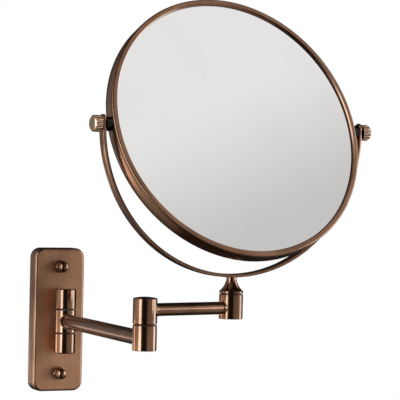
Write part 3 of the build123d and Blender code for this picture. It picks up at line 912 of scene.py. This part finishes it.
# %% Turn the stem
def arc_through(first, middle, last, count):
    """Points of the arc from first through middle to last."""
    a, b, c = (Vector(point) for point in (first, middle, last))
    turn = 2 * ((a.x - c.x) * (b.y - c.y) - (b.x - c.x) * (a.y - c.y))
    p = (a.length_squared - c.length_squared, b.length_squared - c.length_squared)
    centre = Vector(
        (
            (p[0] * (b.y - c.y) - p[1] * (a.y - c.y)) / turn,
            (p[1] * (a.x - c.x) - p[0] * (b.x - c.x)) / turn,
        )
    )
    size = (a - centre).length
    start, end = (degrees(atan2(tip.y - centre.y, tip.x - centre.x)) for tip in (a, c))
    sweep = (end - start + 180) % 360 - 180
    return arc(centre.x, centre.y, size, start, start + sweep, count)


spigot_radius = 4.0
spigot_bottom = 18.0
collar_bottom = 32.3
collar_top = 34.3
flare_waist = (5.3, 38.6)
flare_top = 43.0
neck_radius = 3.9
stem_top = 44.5

stem = spun(
    [
        (0, spigot_bottom),
        (spigot_radius, spigot_bottom),
        (spigot_radius, collar_bottom),
        (barrel_radius - rim, collar_bottom),
        (barrel_radius, collar_bottom + rim),
        (barrel_radius, collar_top - rim),
        *arc_through((barrel_radius - rim, collar_top), flare_waist, (neck_radius, flare_top), 20),
        (neck_radius, stem_top),
        (0, stem_top),
    ]
)
painted(carried(stem, head_axis), head_copper, rubbed_copper)
handed_over(stem, "stem_skin", "head")

# %% [markdown]
# ## The yoke
# The yoke is flat strap bent to a half circle, with round-ended ears that stand just above the
# pivots. Its section is drawn as a face and spun half way round, the ends are pushed straight up,
# and the corners of each ear are bevelled until they almost meet. The strap's long edges were
# dressed with a file, so they get a soft bevel, and that catches the light all along its front.

# %% Bend the yoke
yoke_radius = 110.9
yoke_thickness = 2.6
yoke_width = 7.5
yoke_ear = 7.0
ear_flat = 0.1
ear_round = (yoke_width - ear_flat) / 2

select_nothing()
bpy.ops.mesh.primitive_plane_add(size=1, location=(yoke_radius * mm, 0, 0), enter_editmode=True)
bpy.ops.transform.resize(value=(yoke_thickness * mm, yoke_width * mm, 1))
bpy.ops.object.mode_set(mode="OBJECT")
bpy.ops.object.transform_apply(location=True, rotation=True, scale=True)
bpy.ops.object.mode_set(mode="EDIT")
bpy.ops.mesh.select_mode(type="FACE")
bpy.ops.mesh.select_all(action="SELECT")
bpy.ops.mesh.spin(steps=144, angle=-pi, center=(0, 0, 0), axis=(0, 1, 0))
bpy.ops.mesh.select_all(action="SELECT")
bpy.ops.mesh.remove_doubles(threshold=weld)
bpy.ops.mesh.normals_make_consistent(inside=False)
yoke = bpy.context.object
chosen(yoke, lambda middle, way: abs(middle.z) < 0.01 * mm and abs(way.z) > 0.9)
bpy.ops.mesh.extrude_region_move(TRANSFORM_OT_translate={"value": (0, 0, yoke_ear * mm)})
chosen(yoke, lambda middle, way: middle.z > (yoke_ear - 0.01) * mm and abs(way.x) > 0.9, "edges")
bpy.ops.mesh.bevel(offset=ear_round * mm, segments=12, affect="EDGES")
bpy.ops.object.mode_set(mode="OBJECT")
print("yoke strap", len(yoke.data.polygons), "faces")

# %% [markdown]
# A countersunk screw comes up through the middle of the yoke into the stem, so the strap gets its
# conical seat. The tool is a spun cone, taken away with a Boolean after the edges are dressed.

# %% Dress and drill the yoke
yoke_edge = 0.65
screw_shank = 2.05
screw_head = 3.5
screw_seat = 1.5
yoke_floor = yoke_thickness / 2 - yoke_radius

bevelled(yoke, yoke_edge, 4, rubbed=False)
tool_bottom = yoke_floor - yoke_thickness - spare
seat_tool = spun(
    [
        (0, tool_bottom),
        (screw_shank, tool_bottom),
        (screw_shank, yoke_floor - screw_seat),
        (screw_head, yoke_floor),
        (screw_head, yoke_floor + spare),
        (0, yoke_floor + spare),
    ],
    64,
)
combined(yoke, seat_tool, "DIFFERENCE")
painted(carried(yoke, mirror_centre, up, pivot_direction), yoke_copper)
handed_over(yoke, "yoke_skin", "head")

# %% [markdown]
# ## The drum
# The mirror's case is a rolled band with a rim sprung in at each side. Each rim's skirt lies inside
# the band, a fine groove shows where they meet, and its outer edge is rounded. Its inner lip is
# turned at a slant and polished, so it draws the thin bright circle round the glass.

# %% Roll the band
drum_radius = 104.6
drum_inside = 103.4
drum_half = 4.3
drum_steps = 288


def on_drum(piece):
    """Carries a piece made round Z to the drum's own axis."""
    return carried(piece, mirror_centre, mirror_axis, pivot_direction)


band = ring(
    [
        (drum_inside, -drum_half),
        (drum_radius, -drum_half),
        (drum_radius, drum_half),
        (drum_inside, drum_half),
    ],
    drum_steps,
)
painted(bevelled(band, 0.12, 2), drum_copper, rubbed_copper)
handed_over(on_drum(band), "mirror_drum_skin", "mirror")

# %% Turn the rims
rim_front = 6.4
rim_groove = 5.0
rim_edge = 5.2
rim_shoulder = (104.15, 5.93)
rim_crest = (103.3, 6.22)
rim_groove_radius = 103.6
lip_outer = 100.9
lip_inner = 100.2
lip_edge = 5.5
rim_under = 4.4
rim_skirt = 3.2
glass_radius = 102.2

rim_section = [
    (rim_groove_radius, drum_half),
    (rim_groove_radius, rim_groove),
    (drum_radius, rim_groove),
    *arc_through((drum_radius, rim_edge), rim_shoulder, rim_crest, 8),
    (lip_outer, rim_front),
    (lip_inner, lip_edge),
    (lip_inner, rim_under),
    (glass_radius, rim_under),
    (glass_radius, rim_skirt),
    (drum_inside, rim_skirt),
    (drum_inside, drum_half),
]


def rim_ring(side):
    """The front rim for side 1, the rear one for side -1, with its slanted lip polished."""
    turned_rim = ring([(radius, side * height) for radius, height in rim_section], drum_steps)
    painted(turned_rim, drum_copper, lip_copper)
    for face in turned_rim.data.polygons:
        radius = face.center.xy.length / mm
        slanted = 0.2 < abs(face.normal.z) < 0.95
        if lip_inner - 0.1 < radius < lip_outer and slanted:
            face.material_index = 1
    return on_drum(turned_rim)


handed_over(rim_ring(1), "front_bezel_skin", "mirror")
handed_over(rim_ring(-1), "rear_bezel_skin", "mirror")

# %% [markdown]
# ## The two glasses
# The front glass is flat. The rear one magnifies, because it is a slice of a large thin ball, hollow
# towards the viewer. In CAD that slice is made of small flats, and a mirror shows every one, so here
# its section is an arc and its normals are smooth.

# %% Grind the glasses
glass_face = 4.1
glass_thickness = 1.9
curved_thickness = 1.8
curved_radius = 1400.0
ground_edge = 0.25

flat_front = spun(
    [
        (0, glass_face - glass_thickness),
        (glass_radius, glass_face - glass_thickness),
        (glass_radius, glass_face - ground_edge),
        (glass_radius - ground_edge, glass_face),
        (0, glass_face),
    ],
    drum_steps,
)


def sag(radius):
    """How far the curved glass has dropped, a radius away from its middle."""
    return curved_radius - sqrt(curved_radius**2 - radius**2)


def hollow(height, count=28):
    """The curved outline, from the axis out, whose rim is at a height."""
    radii = [glass_radius * number / count for number in range(count + 1)]
    return [(radius, height + sag(glass_radius) - sag(radius)) for radius in radii]


rear_upper = hollow(curved_thickness - glass_face)
curved_rear = spun([*hollow(-glass_face), *reversed(rear_upper)], drum_steps)
print("the curved glass is", round(sag(glass_radius), 2), "mm deep")


# %% Silver the glasses
def silvered(name):
    """Mirror glass: a faint bloom of handling marks keeps its gloss from being perfect."""
    finish, place = new_finish(name)
    smear = noise(place, 22.0, 5.0).step(0.45, 0.9)
    surfaced(
        place,
        {
            "Base Color": smear.blend((0.935, 0.925, 0.915, 1), (0.905, 0.90, 0.895, 1)),
            "Roughness": 0.012 + 0.03 * smear,
            "Metallic": 1.0,
        },
    )
    return finish


mirror_glass = silvered("mirror_glass_silvered")
for glass, name in ((flat_front, "front_glass_skin"), (curved_rear, "rear_glass_skin")):
    painted(on_drum(glass), mirror_glass)
    handed_over(glass, name, "mirror")

# %% [markdown]
# ## The thumb knobs
# A knob is a turned blank with a bevelled end. Shallow flutes are milled down its side for grip: one
# cutter is modelled, copied round in a spin, and cut away at one stroke.

# %% Turn and flute a knob
knob_start = 113.1
knob_radius = 6.2
knob_body = 5.4
knob_face = 5.0
knob_bevel = 1.1
knob_bore = 2.05
knob_bore_depth = 5.6
flute_count = 14
flute_radius = 0.8
flute_offset = 0.25


def flute_cutter():
    """Upright cutters all round a knob, as one mesh."""
    select_nothing()
    bpy.ops.mesh.primitive_cylinder_add(
        vertices=24,
        radius=flute_radius * mm,
        depth=4 * knob_body * mm,
        location=((knob_radius + flute_offset) * mm, 0, 0),
    )
    cutter = bpy.context.object
    bpy.ops.object.transform_apply(location=True, rotation=True, scale=True)
    bpy.ops.object.mode_set(mode="EDIT")
    bpy.ops.mesh.select_all(action="SELECT")
    bpy.ops.mesh.spin(
        steps=flute_count,
        dupli=True,
        angle=2 * pi,
        use_auto_merge=False,
        center=(0, 0, 0),
        axis=(0, 0, 1),
    )
    bpy.ops.mesh.select_all(action="SELECT")
    bpy.ops.mesh.remove_doubles(threshold=weld)
    bpy.ops.object.mode_set(mode="OBJECT")
    return cutter


def thumb_knob():
    """A fluted knob that stands on the XY plane."""
    face_height = knob_body + knob_bevel
    blank = spun(
        [
            (0, knob_bore_depth),
            (knob_bore, knob_bore_depth),
            (knob_bore, 0),
            (knob_radius - rim, 0),
            (knob_radius, rim),
            (knob_radius, knob_body),
            (knob_face, face_height),
            (0, face_height),
        ],
        168,
    )
    return bevelled(combined(blank, flute_cutter(), "DIFFERENCE"), 0.1, 2)


for side, body in ((-1, "left_knob"), (1, "right_knob")):
    way = side * pivot_direction
    knob = carried(thumb_knob(), mirror_centre + way * knob_start * mm, way, yoke_axis)
    painted(knob, knob_copper_painted_highlight, rubbed_copper)
    handed_over(knob, body + "_skin", body)

# %% [markdown]
# ## Finishes for the pieces that stay as CAD made them
# Screws, bushes, washers and the bar behind the cover are right as they are, and need only a
# finish. Turned steel and brass share one recipe: a little tone, fine lines and a low gloss.
# Nylon, rubber and fibre share another, with a mottle and a pebbled relief.


# %% Make the plain finishes
def worked_metal(name, dark, light, gloss):
    """Bare turned metal."""
    finish, place = new_finish(name)
    lines = place.node(
        "ShaderNodeMapping", {"vector_type": "POINT"}, {"Vector": place, "Scale": (300, 300, 5000)}
    )
    scratch = noise(lines, 1.0, 3.0)
    tone = 0.6 * noise(place, 90.0) + 0.4 * scratch
    surfaced(
        place,
        {
            "Base Color": tone.blend(dark, light),
            "Roughness": gloss + 0.12 * scratch,
            "Normal": relief(scratch, 0.001),
            "Metallic": 1.0,
        },
    )
    return finish


def moulded(name, dark, light, gloss, pebble):
    """Nylon, rubber or fibre: a mottle with pebbles of a size in mm."""
    finish, place = new_finish(name)
    grain = noise(place, 1 / (pebble * mm))
    surfaced(
        place,
        {
            "Base Color": grain.blend(dark, light),
            "Roughness": gloss + 0.15 * grain,
            "Normal": relief(grain, 0.02 * pebble),
        },
    )
    return finish


steel = worked_metal("turned_steel", (0.30, 0.30, 0.31, 1), (0.58, 0.58, 0.59, 1), 0.22)
brass = worked_metal("turned_brass", (0.42, 0.29, 0.12, 1), (0.78, 0.58, 0.28, 1), 0.20)
spacer_black = worked_metal(
    "blackened_brass", (0.012, 0.010, 0.009, 1), (0.05, 0.04, 0.035, 1), 0.18
)
nylon = moulded("black_nylon", (0.020, 0.016, 0.013, 1), (0.045, 0.036, 0.030, 1), 0.5, 0.4)
rubber = moulded("gasket_black", (0.02, 0.02, 0.02, 1), (0.05, 0.05, 0.05, 1), 0.7, 0.3)
fibre = moulded("pressed_fibre", (0.20, 0.15, 0.10, 1), (0.36, 0.29, 0.21, 1), 0.75, 1.2)
print(len(bpy.data.materials), "materials in all")

# %% Lay them on
finish_of_slot = {
    "bright_steel": steel,
    "bush_brass": brass,
    "dark_spacer": spacer_black,
    "washer_nylon": nylon,
    "gasket_rubber": rubber,
    "backing_fibre": fibre,
    "mirror_glass": mirror_glass,
}
copper_of_node = {
    "elbow_plug": elbow_copper,
    "socket_plug": head_copper,
    "first_arm_collars": rubbed_copper,
    "second_arm_collars": rubbed_copper,
}
for subpart in frame["record"]["subparts"]:
    finish = copper_of_node.get(subpart["node"]) or finish_of_slot.get(subpart["material_slot"])
    if finish:
        for holder in frame["nodes"][subpart["node"]].material_slots:
            holder.material = finish
print("every piece has its finish")
